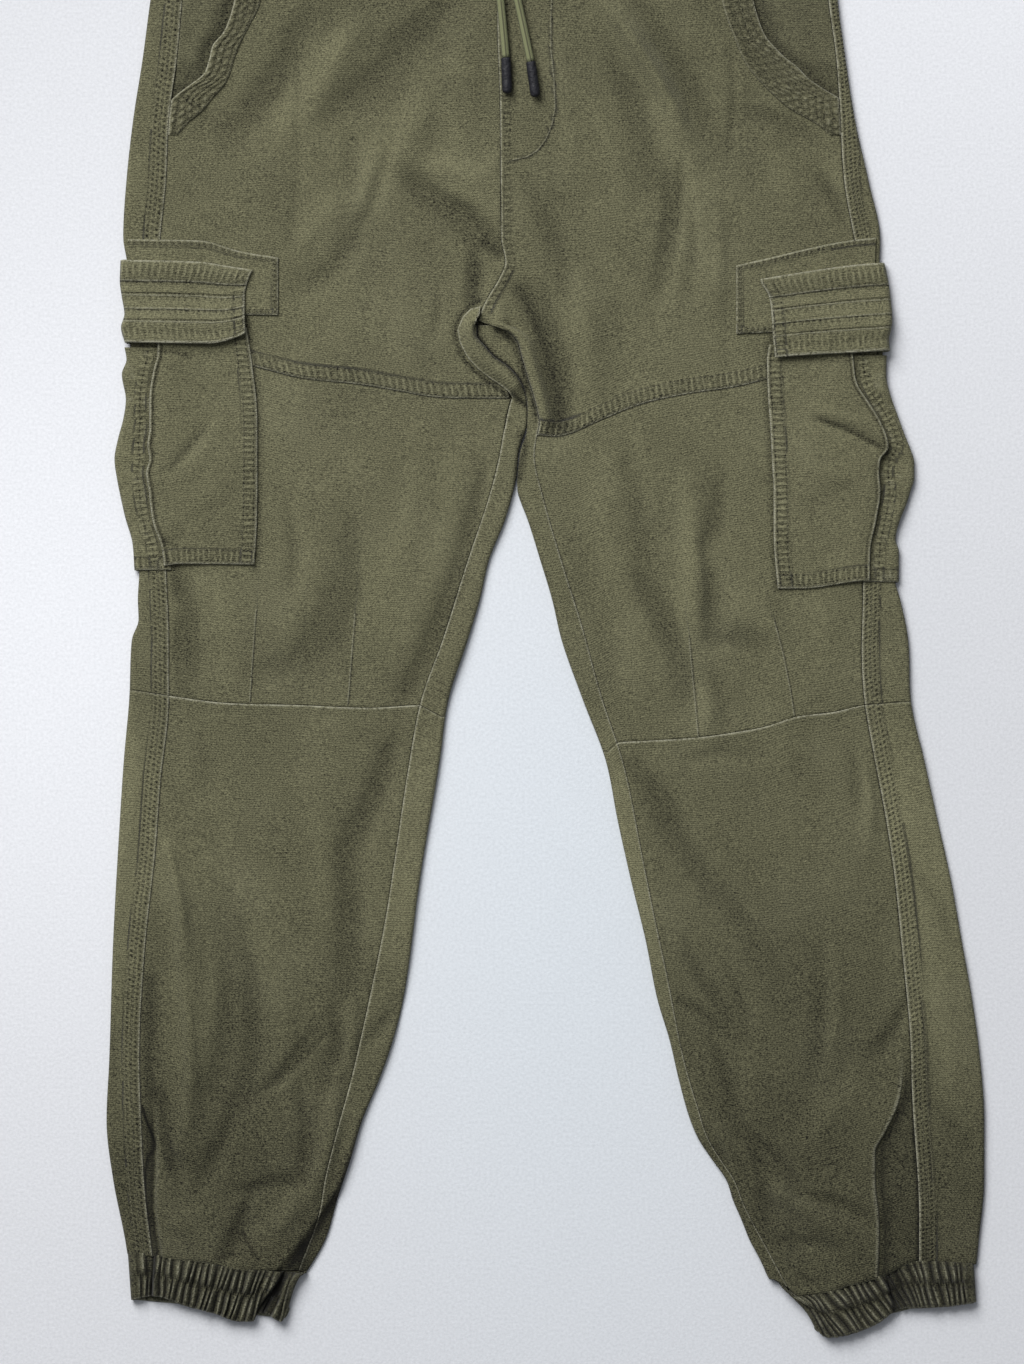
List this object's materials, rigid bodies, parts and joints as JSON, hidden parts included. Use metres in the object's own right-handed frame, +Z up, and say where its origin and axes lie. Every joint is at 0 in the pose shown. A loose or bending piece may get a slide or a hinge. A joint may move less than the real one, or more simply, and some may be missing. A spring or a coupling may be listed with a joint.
{
  "type": "cargo joggers",
  "caption": "Cargo joggers laid flat, with elastic waistband and cuffs, slanted hip pockets, flapped bellows pockets on the thighs and a drawstring.",
  "frame": {"origin": "centre of the bounding box without the drawstring, on the surface the garment lies on", "axes": "+X towards the wearer's left, +Y towards the waist, +Z up from the surface towards the front of the garment"},
  "size_m": [0.6578, 1.089, 0.0134],
  "materials": {
    "olive_twill": "faded cotton twill, matt",
    "shaded_twill": "cotton twill, matt",
    "cord_green": "braided cord, matt",
    "dark_tip": "soft moulded tip"
  },
  "bodies": {
    "root": {"front_upper_r": "olive_twill", "front_thigh_r": "olive_twill", "front_shin_r": "olive_twill", "back_upper_r": "olive_twill", "back_lower_r": "olive_twill", "hip_band_r": "olive_twill", "pocket_patch_r": "olive_twill", "cargo_bellows_r": "olive_twill", "cargo_pocket_r": "olive_twill", "cargo_flap_r": "olive_twill", "cuff_r": "olive_twill", "hip_facing_r": "shaded_twill", "drawstring_r": "cord_green", "aglet_r": "dark_tip", "front_upper_l": "olive_twill", "front_thigh_l": "olive_twill", "front_shin_l": "olive_twill", "back_upper_l": "olive_twill", "back_lower_l": "olive_twill", "hip_band_l": "olive_twill", "pocket_patch_l": "olive_twill", "cargo_bellows_l": "olive_twill", "cargo_pocket_l": "olive_twill", "cargo_flap_l": "olive_twill", "cuff_l": "olive_twill", "hip_facing_l": "shaded_twill", "drawstring_l": "cord_green", "aglet_l": "dark_tip", "waistband": "olive_twill"}
  },
  "joints": []
}
